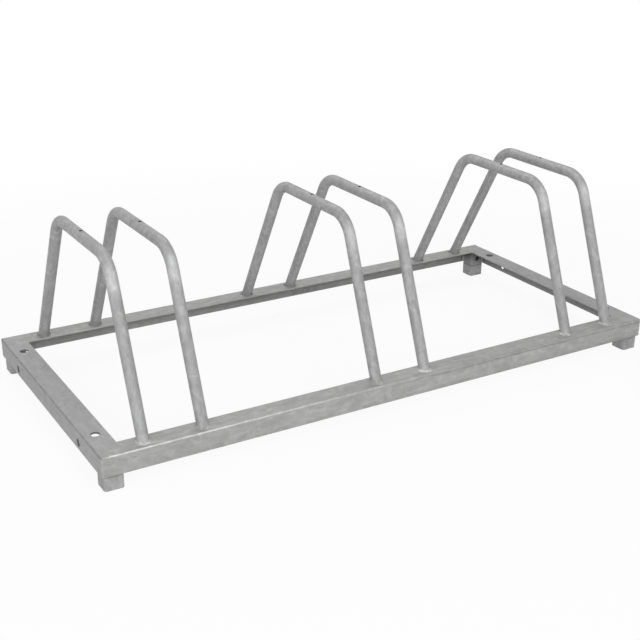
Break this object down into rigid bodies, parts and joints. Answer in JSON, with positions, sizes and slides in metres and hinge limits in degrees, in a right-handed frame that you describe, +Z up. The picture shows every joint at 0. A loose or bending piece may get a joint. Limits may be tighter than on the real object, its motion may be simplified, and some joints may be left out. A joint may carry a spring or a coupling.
{
  "type": "floor bike rack",
  "caption": "Free-standing floor bike rack of galvanised steel: an angle frame on short feet carries pairs of bent tube hoops that each hold a front wheel.",
  "frame": {"origin": "on the ground at the middle of the footprint, at the level of the undersides of the feet", "axes": "+X along the rack to the right as seen from its front, +Y from front to rear, +Z up; the front is the side where the hoops lean less"},
  "size_m": [1, 0.475, 0.3055],
  "materials": {
    "zinc_rail": "hot-dip galvanised rolled steel, matt mid grey with faint mottling",
    "zinc_tube": "hot-dip galvanised steel tube, matt to satin grey with drawn streaks",
    "zinc_foot": "hot-dip galvanised square tube, matt mid grey",
    "zinc_weld": "galvanised weld metal, rippled and slightly brighter"
  },
  "bodies": {
    "root": {"foot_front_left": "zinc_foot", "foot_front_right": "zinc_foot", "foot_rear_left": "zinc_foot", "foot_rear_right": "zinc_foot", "foot_weld_front_left_end_rail": "zinc_weld", "foot_weld_front_left_long_rail": "zinc_weld", "foot_weld_front_right_end_rail": "zinc_weld", "foot_weld_front_right_long_rail": "zinc_weld", "foot_weld_rear_left_end_rail": "zinc_weld", "foot_weld_rear_left_long_rail": "zinc_weld", "foot_weld_rear_right_end_rail": "zinc_weld", "foot_weld_rear_right_long_rail": "zinc_weld", "front_rail": "zinc_rail", "hoop_1_left": "zinc_tube", "hoop_1_right": "zinc_tube", "hoop_2_left": "zinc_tube", "hoop_2_right": "zinc_tube", "hoop_3_left": "zinc_tube", "hoop_3_right": "zinc_tube", "hoop_weld_1_left_front": "zinc_weld", "hoop_weld_1_left_rear": "zinc_weld", "hoop_weld_1_right_front": "zinc_weld", "hoop_weld_1_right_rear": "zinc_weld", "hoop_weld_2_left_front": "zinc_weld", "hoop_weld_2_left_rear": "zinc_weld", "hoop_weld_2_right_front": "zinc_weld", "hoop_weld_2_right_rear": "zinc_weld", "hoop_weld_3_left_front": "zinc_weld", "hoop_weld_3_left_rear": "zinc_weld", "hoop_weld_3_right_front": "zinc_weld", "hoop_weld_3_right_rear": "zinc_weld", "left_end_rail": "zinc_rail", "mitre_weld_front_left": "zinc_weld", "mitre_weld_front_right": "zinc_weld", "mitre_weld_rear_left": "zinc_weld", "mitre_weld_rear_right": "zinc_weld", "rear_rail": "zinc_rail", "right_end_rail": "zinc_rail"}
  },
  "joints": []
}
